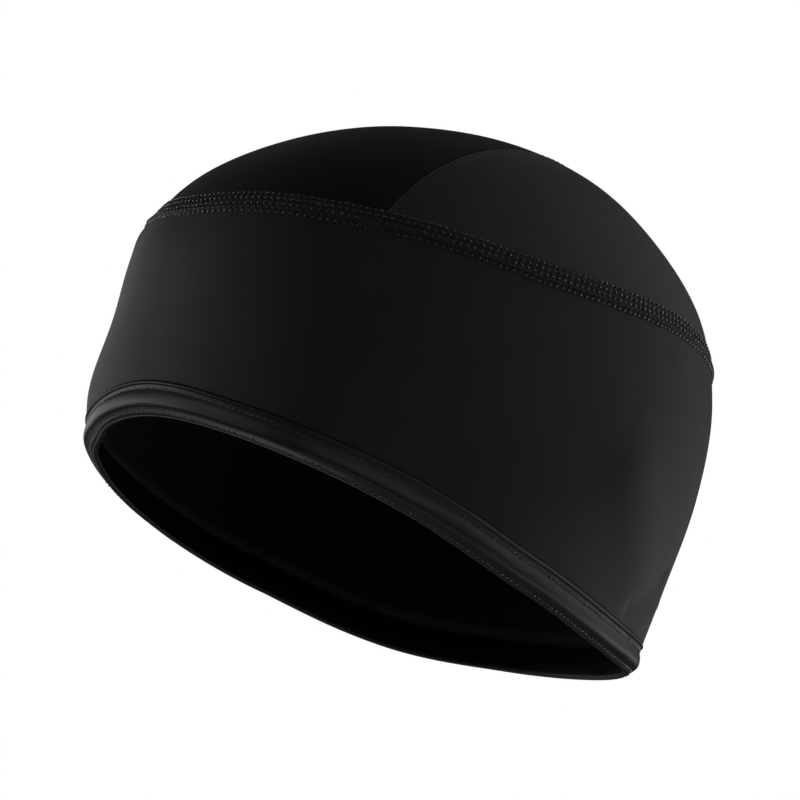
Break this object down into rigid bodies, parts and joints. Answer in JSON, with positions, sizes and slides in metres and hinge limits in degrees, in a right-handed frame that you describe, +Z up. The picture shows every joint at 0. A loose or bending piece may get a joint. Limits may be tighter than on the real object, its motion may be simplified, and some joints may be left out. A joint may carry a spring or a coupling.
{
  "type": "helmet liner cap",
  "caption": "Close-fitting helmet liner cap of black stretch cloth with a panelled crown, broad flat crown seam and stitched hem, open below.",
  "frame": {"origin": "inside top of the crown, where the top of the head touches the cloth", "axes": "+Z up through the crown, -Y toward the forehead, +X toward the wearer's left"},
  "size_m": [0.1666, 0.1933, 0.1686],
  "materials": {
    "centre_cloth": "matt stretch knit",
    "side_cloth": "smooth stretch knit with a soft sheen",
    "seam_thread": "flat seam covered in thread",
    "hem_cloth": "folded stretch knit with two rows of stitches"
  },
  "bodies": {
    "root": {"crown_centre_panel": "centre_cloth", "crown_side_panel_left": "side_cloth", "crown_side_panel_right": "side_cloth", "panel_seam_left": "seam_thread", "panel_seam_right": "seam_thread", "crown_seam": "seam_thread", "side_band": "side_cloth", "hem_band": "hem_cloth"}
  },
  "joints": []
}
